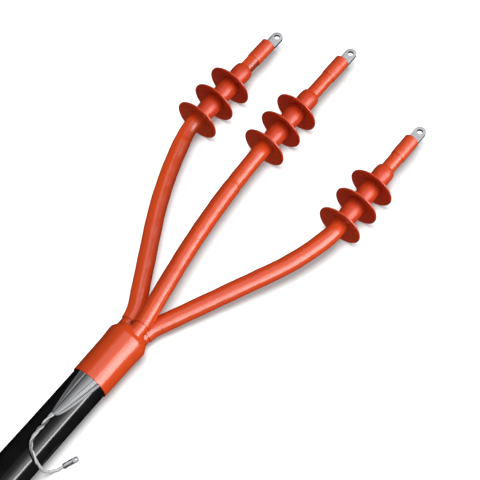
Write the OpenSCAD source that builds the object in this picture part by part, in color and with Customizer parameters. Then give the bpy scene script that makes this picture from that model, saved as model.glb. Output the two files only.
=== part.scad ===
// Outdoor termination of a three-core cable, lying on its boot and its rain sheds.
// +X runs along the cable towards the lugs, +Y to the left phase and +Z up.
// The origin is on the cable's axis, at the middle of the stretch that a cleat clamps.

/* [Cable core] */
// Diameter of the stranded conductor
conductor_d = 16; // [12:0.5:18]
// Wall of the insulation, with its conductor screen
insulation_wall = 5.7; // [4:0.1:7]
// Thickness of the core screen, with the copper tape on it
screen_wall = 1; // [0.8:0.1:1.5]

/* [Cable] */
// Clearance between the cores where they are laid up together
lay_gap = 0.3; // [0.1:0.1:1]
// Wall of the inner sheath
inner_sheath_wall = 1.3; // [1:0.1:2.5]
// Thickness of the steel tape armour
armour_wall = 1; // [0.5:0.1:2]
// Wall of the outer sheath where its conductive skin is scraped off
sheath_wall = 2.7; // [2:0.1:4]
// Thickness of the conductive skin on the clamped stretch
skin_wall = 0.5; // [0.5:0.1:1]
// Length of the clamped stretch, from the cable's cut end
clamp_len = 120; // [80:5:140]
// Distance from the middle of the clamped stretch to the boot's mouth
clamp_to_boot = 270; // [260:5:320]

/* [Boot] */
// Wall of the boot at its mouth
mouth_wall = 2; // [1.6:0.1:4]
// Wall of the boot where its bulge begins
body_wall = 3.1; // [2.2:0.1:4.4]
// Distance from the mouth to the start of the bulge
body_len = 76; // [60:1:86]
// Wall of the boot at its bulge
bulge_wall = 4.7; // [4:0.1:7]
// Distance from the mouth to the bulge
bulge_at = 101; // [96:1:130]
// Length of the tapered shoulder after the bulge
shoulder_len = 30; // [24:1:40]
// Drop in radius along the shoulder
shoulder_drop = 9; // [5:0.5:12]
// Wall of the boot's fingers
finger_wall = 1.3; // [1:0.1:3]
// Length of the fingers past the shoulder
finger_len = 72; // [60:1:110]

/* [Cut-backs inside the boot] */
// Distance from the mouth to the end of the outer sheath
sheath_in = 58; // [40:1:62]
// Bare length of armour past the outer sheath
armour_bare = 14; // [10:1:18]
// Bare length of inner sheath past the armour
inner_sheath_bare = 5; // [2:1:8]

/* [Fan of the cores] */
// Radius of the small bends that spread the cores inside the boot
spread_r = 150; // [120:5:180]
// Turn of the three cores about the cable's axis
lay_twist = 25; // [0:1:40]
// Clearance between the outer tubes where they leave the boot
crotch_gap = 1.4; // [0.6:0.1:4]
// Distance from the boot's shoulder to the start of the fan bends
fan_start = 3; // [2:1:30]
// Radius of the fan bends
fan_r = 100; // [70:5:140]
// Radius of the last bend before the sheds
close_r = 120; // [100:5:220]
// Straight length between the last bend and the first shed
tail = 12; // [10:1:60]

/* [Left phase] */
// Distance of the left lug from the cable's axis
left_side = 206; // [190:1:250]
// Fan angle of the left core
left_fan = 29; // [24:0.5:34]
// Straight run of the left core after the fan bend
left_run = 169; // [100:1:190]
// Angle of the last bend of the left core
left_close = 15.5; // [8:0.5:20]
// Distance from the left top shed to the end of the lug seal
left_end = 136.5; // [130:0.5:200]

/* [Middle phase] */
// Distance of the middle lug from the cable's axis
middle_side = 54.5; // [50:0.5:80]
// Fan angle of the middle core
middle_fan = 11.5; // [10:0.5:13]
// Straight run of the middle core after the fan bend
middle_run = 121; // [60:1:160]
// Angle of the last bend of the middle core
middle_close = 2; // [1:0.5:4]
// Distance from the middle top shed to the end of the lug seal
middle_end = 166.5; // [130:0.5:200]

/* [Right phase] */
// Distance of the right lug from the cable's axis
right_side = 176; // [165:1:230]
// Fan angle of the right core
right_fan = 26.5; // [22:0.5:30]
// Straight run of the right core after the fan bend
right_run = 246; // [150:1:260]
// Angle of the last bend of the right core
right_close = 10.5; // [6:0.5:16]
// Distance from the right top shed to the end of the lug seal
right_end = 146; // [130:0.5:200]

/* [Tubes] */
// Length of finger left bare below the outer tube
finger_bare = 14; // [8:1:30]
// Wall of the outer tube over the fingers and the stress control tube
tube_wall = 1.7; // [1.2:0.1:3]
// Wall of the outer tube where it lies on the insulation
tube_wall_high = 3.3; // [1.5:0.1:4]
// Length of the stress control tube
stress_len = 260; // [150:5:280]
// Length of screen under the stress control tube
screen_overlap = 40; // [20:5:80]
// Length of the outer tube's step past the stress control tube
tube_step = 6; // [3:1:12]

/* [Rain sheds] */
// Diameter of the sheds
shed_d = 98; // [80:1:120]
// Distance from the first shed to the second
shed_pitch = 56.5; // [50:0.5:70]
// Distance from the second shed to the top one
top_pitch = 53.5; // [50:0.5:70]
// Thickness of the sheds at the rim
rim_wall = 2.6; // [1.5:0.1:4]
// Depth of the sheds' cone
shed_drop = 9; // [4:0.5:16]
// Wall of the collar where it meets the cone
neck_wall = 1.2; // [1:0.1:4]
// Wall of the collar at its bulge
collar_bulge = 3.4; // [2.5:0.1:6]
// Distance from the cone to the collar's bulge
belly_at = 24; // [10:1:28]
// Wall of the collar at its open end
collar_lip = 1; // [0.6:0.1:2]
// Length of the shed with its collar
shed_len = 55; // [48:0.5:57]

/* [Lugs] */
// Diameter of the lug's barrel
barrel_d = 25.8; // [22:0.1:26.4]
// Distance from the top shed to the end of the insulation
insulation_past = 44; // [40:1:50]
// Length of the lug seal
seal_len = 52; // [40:1:60]
// Length of outer tube inside the lug seal
seal_overlap = 18; // [12:1:26]
// Wall of the lug seal over the outer tube
seal_wall = 1.2; // [0.8:0.1:3]
// Width of the palm
palm_w = 25; // [20:0.5:32]
// Thickness of the palm
palm_t = 7; // [4:0.5:9]
// Distance from the lug seal to the bolt hole
hole_at = 31.5; // [24:0.5:40]
// Diameter of the bolt hole
hole_d = 12; // [8.5:0.5:14]

/* [Earthing] */
// Thickness of the earth straps
strap_t = 1; // [0.6:0.1:1.4]
// Distance of the straps' left edge from the cable's axis
straps_left = 12; // [8:0.5:16]
// Width of the side straps at the boot's mouth
strap_w = 8; // [6:0.5:9]
// Gap between the straps at the boot's mouth
strap_gap = 1.5; // [1:0.1:3]
// Width of each strap where they gather
strap_end_w = 1.5; // [1:0.1:2.5]
// Distance from the boot's mouth to the point where the straps gather
gather_at = 98; // [80:1:98]
// Thickness of the roll spring
spring_t = 0.8; // [0.4:0.1:1]
// Diameter of the twisted earth lead
lead_d = 7; // [5:0.5:7]
// Diameter of the earth lug's barrel
earth_barrel_d = 10; // [9:0.5:12]
// Length of the earth lug's barrel
earth_barrel_len = 20; // [15:1:30]
// Thickness of the earth lug's palm
earth_palm_t = 2.5; // [1.5:0.5:4]
// Length of the earth lug's palm from the barrel to the hole
earth_palm_len = 7; // [6:1:15]
// Diameter of the earth lug's hole
earth_hole_d = 5.3; // [4.3:0.1:6.4]

/* [Hidden] */
$fn = 72;
// Clearance between two pieces that lie on each other
fit = 0.2;
// Overshoot of a cutting body
cut = 1;
// Every second stretch of a core is this much slimmer and reaches this far into its neighbours
relief = 0.1;
lap = 0.2;

// Radii of the core's layers
conductor_r = conductor_d / 2;
insulation_r = conductor_r + insulation_wall;
core_r = insulation_r + screen_wall;
finger_r = core_r + fit + finger_wall;
tube_r = finger_r + fit + tube_wall;
tube_r_high = insulation_r + fit + tube_wall_high;
barrel_r = barrel_d / 2;
tube_r_end = barrel_r + fit + tube_wall;
seal_r = tube_r_end + fit + seal_wall;

// Radii of the cable
lay_r = (core_r + lay_gap / 2) * 2 / sqrt(3);
inner_sheath_in = lay_r + core_r + fit;
inner_sheath_r = inner_sheath_in + inner_sheath_wall;
armour_r = inner_sheath_r + armour_wall;
sheath_r = armour_r + sheath_wall;
clamp_r = sheath_r + skin_wall;
bore_r = sheath_r + fit;
mouth_r = bore_r + mouth_wall;
bulge_r = bore_r + bulge_wall;

// Places along the cable
cable_x = -clamp_len / 2;
mouth_x = clamp_to_boot;
sheath_x = mouth_x + sheath_in;
armour_x = sheath_x + armour_bare;
inner_sheath_x = armour_x + inner_sheath_bare;
shoulder_x = mouth_x + bulge_at + shoulder_len;

// The cores spread from the cable's lay-up to the wider lay-up of the fingers
fan_lay_r = (2 * tube_r + crotch_gap) / sqrt(3);
spread_turn = acos(1 - (fan_lay_r - lay_r) / (2 * spread_r));
spread_x = shoulder_x - 2 * spread_r * sin(spread_turn);
fan_x = shoulder_x + fan_start;

// The sheds touch the same flat surface as the boot's bulge
floor_z = -bulge_r;
shed_z = floor_z + shed_d / 2;

// Each phase: name, lay-up angle, side, fan angle, straight run, last bend, end length
phases = [
  ["left", lay_twist - 30, left_side, left_fan, left_run, left_close, left_end],
  ["middle", lay_twist + 90, middle_side, middle_fan, middle_run, middle_close, middle_end],
  ["right", lay_twist + 210, -right_side, right_fan, right_run, right_close, right_end],
];
function lay_angle(p) = p[1];
function side_y(p) = p[2];
function fan_turn(p) = p[3];
function run_len(p) = p[4];
function close_turn(p) = p[5];
function end_len(p) = p[6];

// The fan lies in a plane through the core that reaches the shed's height at its end
function start_y(p) = fan_lay_r * cos(lay_angle(p));
function start_z(p) = fan_lay_r * sin(lay_angle(p));
function across(p) = norm([side_y(p) - start_y(p), shed_z - start_z(p)]);
function fan_roll(p) = atan2(shed_z - start_z(p), side_y(p) - start_y(p));

// Radius of the long bend that brings the core to its side distance
function long_r(p) =
  (across(p) - fan_r * (1 - cos(fan_turn(p))) - run_len(p) * sin(fan_turn(p))
    - close_r * (1 - cos(close_turn(p)))) / (cos(close_turn(p)) - cos(fan_turn(p)));

// Place where the last bend ends, and of the first shed's rim
function bend_x(p) =
  fan_x + fan_r * sin(fan_turn(p)) + run_len(p) * cos(fan_turn(p))
    + long_r(p) * (sin(fan_turn(p)) - sin(close_turn(p))) + close_r * sin(close_turn(p));
function shed_x(p, i) = bend_x(p) + tail + (i < 2 ? i * shed_pitch : shed_pitch + top_pitch);
function top_shed_x(p) = shed_x(p, 2);
function insulation_x(p) = top_shed_x(p) + insulation_past;
function seal_x(p) = top_shed_x(p) + end_len(p);
function tube_end_x(p) = seal_x(p) - seal_len + seal_overlap;

// A core's path is a list of stretches: length, bend radius, turn and roll about the path
function straight(length) = [length, 0, 0, 0];
function bend(radius, turn, roll) = [radius * abs(turn) * PI / 180, radius, turn, roll];
function core_path(p) = [
  straight(spread_x - cable_x),
  bend(spread_r, spread_turn, lay_angle(p)),
  bend(spread_r, -spread_turn, lay_angle(p)),
  straight(fan_x - shoulder_x),
  bend(fan_r, fan_turn(p), fan_roll(p)),
  straight(run_len(p)),
  bend(long_r(p), close_turn(p) - fan_turn(p), fan_roll(p)),
  bend(close_r, -close_turn(p), fan_roll(p)),
  straight(seal_x(p) - bend_x(p)),
];
function stretch_sum(path, n) = n == 0 ? 0 : path[n - 1][0] + stretch_sum(path, n - 1);

// Stations along a core's path, counted from the cable's cut end
function shoulder_s(p) = stretch_sum(core_path(p), 3);
function lip_s(p) = shoulder_s(p) + finger_bare;
function finger_s(p) = shoulder_s(p) + finger_len;
function screen_s(p) = finger_s(p) + screen_overlap;
function stress_s(p) = finger_s(p) + stress_len;
function bend_s(p) = stretch_sum(core_path(p), 8);
function station(p, x) = bend_s(p) + x - bend_x(p);

// Points of an arc about a centre, from one angle to another
function arc(centre, radius, from, to, steps) =
  [for (i = [0 : steps])
    let (a = from + (to - from) * i / steps)
    centre + radius * [cos(a), sin(a)]];

// Flat ring between two radii
module ring(outer, inner) {
  difference() {
    circle(outer);
    circle(inner);
  }
}

// The child's section swept along one stretch of path, between two lengths on it
// A bend turns the section back by its roll, so that the seams of all stretches are in line
module stretch(s, from, to) {
  if (s[1] == 0) {
    translate([from, 0, 0]) rotate([90, 0, 90]) linear_extrude(to - from) children();
  } else {
    first = from / s[1] * 180 / PI;
    last = to / s[1] * 180 / PI;
    seam = s[2] > 0 ? 180 + s[3] : -s[3];
    translate([0, sign(s[2]) * s[1], 0])
      rotate([0, 0, s[2] > 0 ? first - 90 : 90 - last])
        rotate_extrude(angle = last - first) translate([s[1], 0]) rotate(seam) children();
  }
}

// Moves the children from the start of a stretch to its end
module past(s) {
  shift = s[1] == 0 ? [s[0], 0, 0] : s[1] * [sin(abs(s[2])), sign(s[2]) * (1 - cos(s[2])), 0];
  rotate([s[3], 0, 0]) translate(shift) rotate([0, 0, s[2]]) rotate([-s[3], 0, 0]) children();
}

// The child's section swept along a path, between two stations
module along(path, from, to, i = 0, s = 0) {
  if (i < len(path)) {
    length = path[i][0];
    first = max(from - s, 0);
    last = min(to - s, length);
    slimmer = i % 2;
    $slim = slimmer * relief;
    back = s > from ? slimmer * lap : 0;
    on = to - s > length ? slimmer * lap : 0;
    if (last - first > lap / 2)
      rotate([path[i][3], 0, 0]) stretch(path[i], first - back, last + on) children();
    if (to - s > length) past(path[i]) along(path, from, to, i + 1, s + length) children();
  }
}

// A layer of a phase's core between two stations
module layer(p, outer, inner, from, to) {
  translate([cable_x, lay_r * cos(lay_angle(p)), lay_r * sin(lay_angle(p))])
    along(core_path(p), from, to)
      if (inner > 0) ring(outer - $slim, inner + $slim);
      else circle(outer - $slim);
}

// Turns the child's outline, given as radius and place, about an axis along X
module turned(y = 0, z = 0) {
  translate([0, y, z]) rotate([90, 0, 90]) rotate_extrude() children();
}

// Layers of the cable

module cable_sheath() {
  color("#141414") turned() polygon([
    [armour_r + fit, cable_x],
    [clamp_r, cable_x],
    [clamp_r, cable_x + clamp_len],
    [sheath_r, cable_x + clamp_len],
    [sheath_r, sheath_x],
    [armour_r + fit, sheath_x],
  ]);
}

module cable_ring(outer, inner, to) {
  translate([cable_x, 0, 0]) rotate([90, 0, 90]) linear_extrude(to - cable_x) ring(outer, inner);
}

module armour() {
  color("#8a8d90") cable_ring(armour_r, inner_sheath_r + fit, armour_x);
}

module inner_sheath() {
  color("#2a2a2c") cable_ring(inner_sheath_r, inner_sheath_in, inner_sheath_x);
}

module filler() {
  color("#d8d2c0")
    translate([cable_x, 0, 0]) rotate([90, 0, 90]) linear_extrude(inner_sheath_x - cable_x)
      difference() {
        circle(inner_sheath_in - fit);
        for (p = phases) rotate(lay_angle(p)) translate([lay_r, 0]) circle(core_r + fit);
      }
}

// Layers of each core

module conductor(p) {
  color("#b87333") layer(p, conductor_r, 0, 0, station(p, seal_x(p)) - seal_overlap);
}

module insulation(p) {
  color("#e8e4da") layer(p, insulation_r, conductor_r + fit, 0, station(p, insulation_x(p)));
}

module core_screen(p) {
  color("#c58b54") layer(p, core_r, insulation_r + fit, 0, screen_s(p));
}

module stress_tube(p) {
  color("#1f1f22") {
    layer(p, finger_r, core_r + fit, finger_s(p) + fit, screen_s(p) + fit + lap);
    layer(p, finger_r - 2 * relief, insulation_r + fit, screen_s(p) + fit, stress_s(p));
  }
}

// Outer tube, wide over the finger and the stress control tube, then close on the insulation and the lug
module outer_tube(p) {
  step_s = stress_s(p) + fit + lap;
  low_s = step_s + tube_step;
  neck_x = insulation_x(p) + fit;
  cone_x = top_shed_x(p) + shed_len - collar_lip;
  color("#d2452a") {
    layer(p, tube_r, finger_r + fit, lip_s(p), step_s);
    layer(p, (tube_r + tube_r_high) / 2, insulation_r + fit + 2 * relief, step_s - lap, low_s);
    layer(p, tube_r_high - relief, insulation_r + fit + relief, low_s - lap, bend_s(p) + lap);
    turned(side_y(p), shed_z) polygon([
      [insulation_r + fit, bend_x(p)],
      [tube_r_high, bend_x(p)],
      [tube_r_high, neck_x],
      [tube_r_end, cone_x],
      [tube_r_end, tube_end_x(p)],
      [barrel_r + fit, tube_end_x(p)],
      [barrel_r + fit, neck_x],
      [insulation_r + fit, neck_x],
    ]);
  }
}

// Rain shed: a shallow cone with a bulged collar on its lug side
module shed(p, i) {
  top = i == 2;
  rim_x = shed_x(p, i);
  lip_x = rim_x + shed_len;
  seat_r = tube_r_high + fit;
  end_r = top ? tube_r_end + fit : seat_r;
  neck_x = rim_x + shed_drop + rim_wall;
  neck_r = seat_r + neck_wall;
  belly_x = neck_x + belly_at;
  belly_r = seat_r + collar_bulge;
  lip_r = end_r + collar_lip;
  edge = rim_wall / 2;
  edge_steps = 6;
  neck_steps = 6;
  dome_steps = 8;
  // The seat follows the outer tube's own taper under the top shed
  taper_from = insulation_x(p) + fit;
  taper_to = top_shed_x(p) + shed_len - collar_lip;
  color("#d2452a") turned(side_y(p), shed_z) polygon(concat(
    [[seat_r, rim_x + shed_drop]],
    arc([shed_d / 2 - edge, rim_x + edge], edge, -90, 90, edge_steps),
    // The collar swells from its neck to its bulge, then closes in a dome
    [for (k = [0 : neck_steps - 1])
      let (t = k / neck_steps, swell = (1 - cos(180 * t)) / 2)
      [neck_r + (belly_r - neck_r) * swell, neck_x + belly_at * t]],
    [for (k = [0 : dome_steps])
      let (a = 90 * k / dome_steps)
      [lip_r + (belly_r - lip_r) * cos(a), belly_x + (lip_x - belly_x) * sin(a)]],
    [[end_r, lip_x]],
    top ? [[end_r, taper_to + fit], [seat_r, taper_from]] : []
  ));
}

module lug_seal(p) {
  lip_x = seal_x(p) - seal_len;
  lip_wall = seal_wall / 2;
  color("#d2452a") turned(side_y(p), shed_z) polygon([
    [tube_r_end + fit, lip_x],
    [tube_r_end + fit + lip_wall, lip_x],
    [seal_r, lip_x + seal_overlap / 2],
    [seal_r, seal_x(p) - seal_wall],
    [seal_r - seal_wall, seal_x(p)],
    [barrel_r + fit, seal_x(p)],
    [barrel_r + fit, tube_end_x(p) + fit],
    [tube_r_end + fit, tube_end_x(p) + fit],
  ]);
}

// Lug with a long barrel and a palm in line with the barrel's underside
module lug(p) {
  barrel_x = insulation_x(p) + 2 * fit;
  slope_x = seal_x(p) + fit;
  hole_x = seal_x(p) + hole_at;
  palm_top = palm_t - barrel_r;
  bore_x = seal_x(p) - seal_overlap + fit;
  color("#c4c7c9") translate([0, side_y(p), shed_z]) difference() {
    union() {
      // Barrel, cut on a slope down to the palm
      intersection() {
        translate([barrel_x, 0, 0]) rotate([0, 90, 0]) cylinder(r = barrel_r, h = hole_x - barrel_x);
        rotate([90, 0, 0]) linear_extrude(2 * barrel_d, center = true) polygon([
          [barrel_x, -barrel_r - cut],
          [barrel_x, barrel_r + cut],
          [slope_x, barrel_r + cut],
          [slope_x, barrel_r],
          [slope_x + palm_t, palm_top],
          [hole_x, palm_top],
          [hole_x, -barrel_r - cut],
        ]);
      }
      translate([slope_x, -palm_w / 2, -barrel_r]) cube([hole_x - slope_x, palm_w, palm_t]);
      translate([hole_x, 0, -barrel_r]) cylinder(d = palm_w, h = palm_t);
    }
    translate([hole_x, 0, -barrel_r - cut]) cylinder(d = hole_d, h = palm_t + 2 * cut);
    translate([barrel_x - cut, 0, 0]) rotate([0, 90, 0])
      cylinder(r = conductor_r + fit, h = bore_x - barrel_x + cut);
  }
}

// Boot: mouth, body with a slight bulge, shoulder and fingers, as one moulding

module breakout_boot() {
  bulge_steps = 6;
  bulge_x = mouth_x + bulge_at;
  top_r = bulge_r - shoulder_drop;
  roof_wall = shoulder_len / 2;
  roof_x = shoulder_x - roof_wall;
  color("#d2452a") difference() {
    union() {
      turned() polygon(concat(
        [[bore_r, mouth_x], [mouth_r, mouth_x]],
        // The skin swells softly from the end of the body to the bulge
        [for (k = [0 : bulge_steps])
          let (t = k / bulge_steps, swell = (1 - cos(180 * t)) / 2)
          [bore_r + body_wall + (bulge_wall - body_wall) * swell, mouth_x + body_len + (bulge_at - body_len) * t]],
        [[top_r, shoulder_x], [0, shoulder_x], [0, roof_x], [top_r - bulge_wall, roof_x],
          [bore_r, bulge_x]]
      ));
      for (p = phases) layer(p, finger_r, 0, shoulder_s(p) - roof_wall, finger_s(p));
    }
    for (p = phases) layer(p, core_r + fit, 0, shoulder_s(p) - shoulder_len, finger_s(p) + cut);
    strap_bed();
  }
}

// Earthing

// Plan of the straps: near edges at the mouth, from the left to the right
strap_widths = [strap_w, 2 * strap_w, strap_w, strap_w / 2];
strap_names = ["strap_1", "strap_2", "strap_3", "strap_4"];
gather_x = mouth_x - gather_at;
gather_left_y = 2 * strap_end_w;
spring_r = armour_r + fit + strap_t + fit;
spring_w = armour_bare / 2;
strap_in_x = armour_x - fit;
function strap_left_y(i) = i == 0 ? straps_left : strap_left_y(i - 1) - strap_widths[i - 1] - strap_gap;

module strap_plan(i, grow = 0) {
  left_y = strap_left_y(i) + grow;
  right_y = strap_left_y(i) - strap_widths[i] - grow;
  end_y = gather_left_y - i * strap_end_w;
  polygon([
    [gather_x, end_y],
    [mouth_x, left_y],
    [strap_in_x + grow, left_y],
    [strap_in_x + grow, right_y],
    [mouth_x, right_y],
    [gather_x, end_y - strap_end_w + fit],
  ]);
}

// A strap lies on the sheath and steps down over its end onto the armour
module strap_body(thick, lift) {
  low_r = armour_r + lift;
  high_r = sheath_r + lift;
  wall_x = sheath_x + lift;
  turned() polygon([
    [high_r, gather_x - cut],
    [high_r + thick, gather_x - cut],
    [high_r + thick, wall_x + thick],
    [low_r + thick, wall_x + thick],
    [low_r + thick, strap_in_x + cut],
    [low_r, strap_in_x + cut],
    [low_r, wall_x],
    [high_r, wall_x],
  ]);
}

module strap(i) {
  color("#b4b8bb") intersection() {
    strap_body(strap_t, fit);
    linear_extrude(2 * sheath_r) strap_plan(i);
  }
}

// Room that the straps press into the boot's bore
module strap_bed() {
  intersection() {
    turned() polygon([
      [sheath_r - cut, mouth_x - cut],
      [sheath_r + strap_t + 2 * fit, mouth_x - cut],
      [sheath_r + strap_t + 2 * fit, armour_x],
      [sheath_r - cut, armour_x],
    ]);
    linear_extrude(2 * sheath_r) for (i = [0 : 3]) strap_plan(i, fit);
  }
}

module roll_spring() {
  color("#9aa0a4")
    translate([armour_x - spring_w - fit, 0, 0]) rotate([90, 0, 90]) linear_extrude(spring_w)
      ring(spring_r + spring_t, spring_r);
}

// Route of the twisted earth lead: along the cable, over its right flank and out on the flat surface
lead_route = [
  [172, -1, 41], [158, -1, 41], [144, -1, 41], [130, -1, 41], [117, -3, 41.5], [105, -8, 41],
  [96, -17, 39], [90, -28, 32], [87, -37, 21], [87, -42, 8], [88, -44, -6], [91, -45, -18],
  [96, -46, -28], [103, -49, -34], [112, -54, -36.5], [123, -58, -36.8],
];
lead_sides = 10;

// Heading of the route at a point, and the two directions across it
function unit(v) = v / norm(v);
function heading(i) =
  unit(lead_route[min(i + 1, len(lead_route) - 1)] - lead_route[max(i - 1, 0)]);
// A direction that no stretch of the route has
off_route = [1, 2, 3];
function sideways(i) = unit(cross(heading(i), off_route));
function upwards(i) = cross(sideways(i), heading(i));
function lead_ring(i) = [for (k = [0 : lead_sides - 1])
  let (a = 360 * k / lead_sides)
  lead_route[i] + lead_d / 2 * (cos(a) * sideways(i) + sin(a) * upwards(i))];

module earth_lead() {
  rings = len(lead_route);
  points = [for (i = [0 : rings - 1]) each lead_ring(i)];
  walls = [for (i = [0 : rings - 2], k = [0 : lead_sides - 1])
    let (n = (k + 1) % lead_sides, here = i * lead_sides, next = here + lead_sides)
    each [[here + k, here + n, next + n], [here + k, next + n, next + k]]];
  first = [for (k = [lead_sides - 1 : -1 : 0]) k];
  last = [for (k = [0 : lead_sides - 1]) (rings - 1) * lead_sides + k];
  color("#b4b8bb") polyhedron(points, concat(walls, [first, last]));
}

// Earth lug on the end of the lead
lead_last = len(lead_route) - 1;
lead_end = lead_route[lead_last];
earth_lug_yaw = atan2(heading(lead_last).y, heading(lead_last).x);

module earth_lug() {
  earth_r = earth_barrel_d / 2;
  hole_x = earth_barrel_len + earth_palm_len;
  color("#c4c7c9") translate(lead_end) rotate([0, 0, earth_lug_yaw]) translate([fit, 0, 0]) difference() {
    union() {
      rotate([0, 90, 0]) cylinder(r = earth_r, h = earth_barrel_len);
      translate([0, -earth_r, -earth_palm_t / 2]) cube([hole_x, earth_barrel_d, earth_palm_t]);
      translate([hole_x, 0, -earth_palm_t / 2]) cylinder(r = earth_r, h = earth_palm_t);
    }
    translate([hole_x, 0, -earth_palm_t]) cylinder(d = earth_hole_d, h = 2 * earth_palm_t);
  }
}

// Nodes

phase_parts = ["conductor", "insulation", "core_screen", "stress_tube", "outer_tube",
  "shed_1", "shed_2", "shed_3", "lug_seal", "lug"];

cable_sheath();
armour();
inner_sheath();
filler();
breakout_boot();
roll_spring();
earth_lead();
earth_lug();
for (i = [0 : 3]) {
  strap(i);
}
for (p = phases) {
  conductor(p);
  insulation(p);
  core_screen(p);
  stress_tube(p);
  outer_tube(p);
  for (i = [0 : 2]) {
    shed(p, i);
  }
  lug_seal(p);
  lug(p);
}
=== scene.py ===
import bpy
import numpy as np
import random
from math import acos, atan2, copysign, cos, exp, hypot, pi, radians, sin, sqrt, tau
from mathutils import Matrix, Vector
from types import SimpleNamespace


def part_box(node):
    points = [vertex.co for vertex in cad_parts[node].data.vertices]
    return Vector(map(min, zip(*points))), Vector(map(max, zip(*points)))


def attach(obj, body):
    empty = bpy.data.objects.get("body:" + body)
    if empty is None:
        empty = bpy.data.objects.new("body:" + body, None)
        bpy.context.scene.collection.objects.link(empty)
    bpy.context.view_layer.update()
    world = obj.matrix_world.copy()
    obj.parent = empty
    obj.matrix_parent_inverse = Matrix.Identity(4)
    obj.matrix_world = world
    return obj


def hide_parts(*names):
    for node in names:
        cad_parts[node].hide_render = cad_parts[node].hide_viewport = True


# Looks of an outdoor heat-shrink termination of a three-core cable, in metres
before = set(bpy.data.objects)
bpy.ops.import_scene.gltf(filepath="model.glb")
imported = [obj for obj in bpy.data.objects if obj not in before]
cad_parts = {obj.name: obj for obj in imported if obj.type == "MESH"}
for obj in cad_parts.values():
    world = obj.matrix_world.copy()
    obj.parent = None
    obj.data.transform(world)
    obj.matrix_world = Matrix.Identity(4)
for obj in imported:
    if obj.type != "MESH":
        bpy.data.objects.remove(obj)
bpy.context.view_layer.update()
scene = bpy.context.scene
scene.view_settings.view_transform = "Standard"
millimetre = 0.001
seamClearance = 0.0002  # what the solids keep between two layers
anyTurn = 6.28  # top of the range for a drawn phase


def middleOf(node):
    low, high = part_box(node)
    return (low + high) / 2


# Camera, placed where the photograph was taken from
cameraSettings = {
    "place": (-0.3716, -0.8561, 2.4470),
    "azimuth": -52.272,
    "elevation": 61.313,
    "lens": 105,
    "sensor": 36,
    "clipEnd": 60,
}


def makeCamera(settings):
    azimuth = radians(settings["azimuth"])
    elevation = radians(settings["elevation"])
    forward = Vector((
        -sin(azimuth) * cos(elevation),
        cos(azimuth) * cos(elevation),
        -sin(elevation),
    ))
    data = bpy.data.cameras.new("camera")
    data.lens = settings["lens"]
    data.sensor_width = settings["sensor"]
    data.clip_end = settings["clipEnd"]
    camera = bpy.data.objects.new("camera", data)
    camera.location = settings["place"]
    camera.rotation_mode = "QUATERNION"
    camera.rotation_quaternion = forward.to_track_quat("-Z", "Y")
    scene.collection.objects.link(camera)
    scene.camera = camera


makeCamera(cameraSettings)
print("camera set")


# Mesh tools
def makePiece(name, points, faces, wraps=None, sharpAngle=40):
    mesh = bpy.data.meshes.new(name)
    mesh.from_pydata([tuple(p) for p in points], [], faces)
    if wraps:
        layer = mesh.uv_layers.new(name="wrap")
        layer.data.foreach_set("uv", [value for pair in wraps for value in pair])
    mesh.polygons.foreach_set("use_smooth", [True] * len(mesh.polygons))
    mesh.set_sharp_from_angle(angle=radians(sharpAngle))
    mesh.update()
    piece = bpy.data.objects.new(name, mesh)
    scene.collection.objects.link(piece)
    return piece


def ringOf(matrix, radius, sides, ripple=None, station=0.0):
    points = []
    for j in range(sides):
        angle = tau * j / sides
        reach = radius + (ripple(station, angle) if ripple else 0)
        points.append(matrix @ Vector((0, reach * cos(angle), reach * sin(angle))))
    return points


# Faces from ring to ring, or between a ring and a point, and each corner's place on the skin
# A start is the number of a ring's first point, and whether it is a ring
def bandData(starts, travel, sides, closed=False):
    faces, wraps = [], []
    count = len(starts)
    for k in range(count if closed else count - 1):
        here, hereRing = starts[k]
        there, thereRing = starts[(k + 1) % count]
        v0 = travel[k]
        v1 = travel[k + 1] if k + 1 < count else v0 + millimetre
        for j in range(sides):
            n = (j + 1) % sides
            u0, u1 = j / sides, (j + 1) / sides
            if hereRing and thereRing:
                faces.append((here + j, here + n, there + n, there + j))
                wraps.extend([(u0, v0), (u1, v0), (u1, v1), (u0, v1)])
            elif thereRing:
                faces.append((here, there + n, there + j))
                wraps.extend([(u0, v0), (u1, v1), (u0, v1)])
            else:
                faces.append((here + j, here + n, there))
                wraps.extend([(u0, v0), (u1, v0), (u0, v1)])
    return faces, wraps


# A skin swept along a path from an outline of (station, radius)
# It closes on itself unless both ends of the outline are on the axis
# A ripple goes on every ring, or on the waved ones only
def skinData(path, outline, sides=64, ripple=None, waved=None):
    points, starts = [], []
    travel = [0.0]
    for a, b in zip(outline, outline[1:]):
        travel.append(travel[-1] + hypot(b[0] - a[0], b[1] - a[1]))
    for k, (station, radius) in enumerate(outline):
        starts.append((len(points), radius > 0))
        if radius > 0:
            wave = ripple if waved is None or k in waved else None
            points.extend(ringOf(path(station), radius, sides, wave, station))
        else:
            points.append(path(station).translation)
    return points, *bandData(starts, travel, sides, outline[0][1] > 0)


# Stations after the first, in even steps up to the last
def evenly(first, last, steps):
    return [first + (last - first) * k / steps for k in range(1, steps + 1)]


def barOutline(first, last, radius, steps):
    return [(first, 0), (first, radius), *((s, radius) for s in evenly(first, last, steps)), (last, 0)]


def joined(parts):
    points, faces, wraps = [], [], []
    for p, f, w in parts:
        shift = len(points)
        points.extend(p)
        faces.extend(tuple(i + shift for i in face) for face in f)
        wraps.extend(w)
    return points, faces, wraps


def softStep(low, high, x):
    t = min(max((x - low) / (high - low), 0), 1)
    return t * t * (3 - 2 * t)


def bump(centre, width, x):
    return exp(-((x - centre) / width) ** 2)


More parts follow.
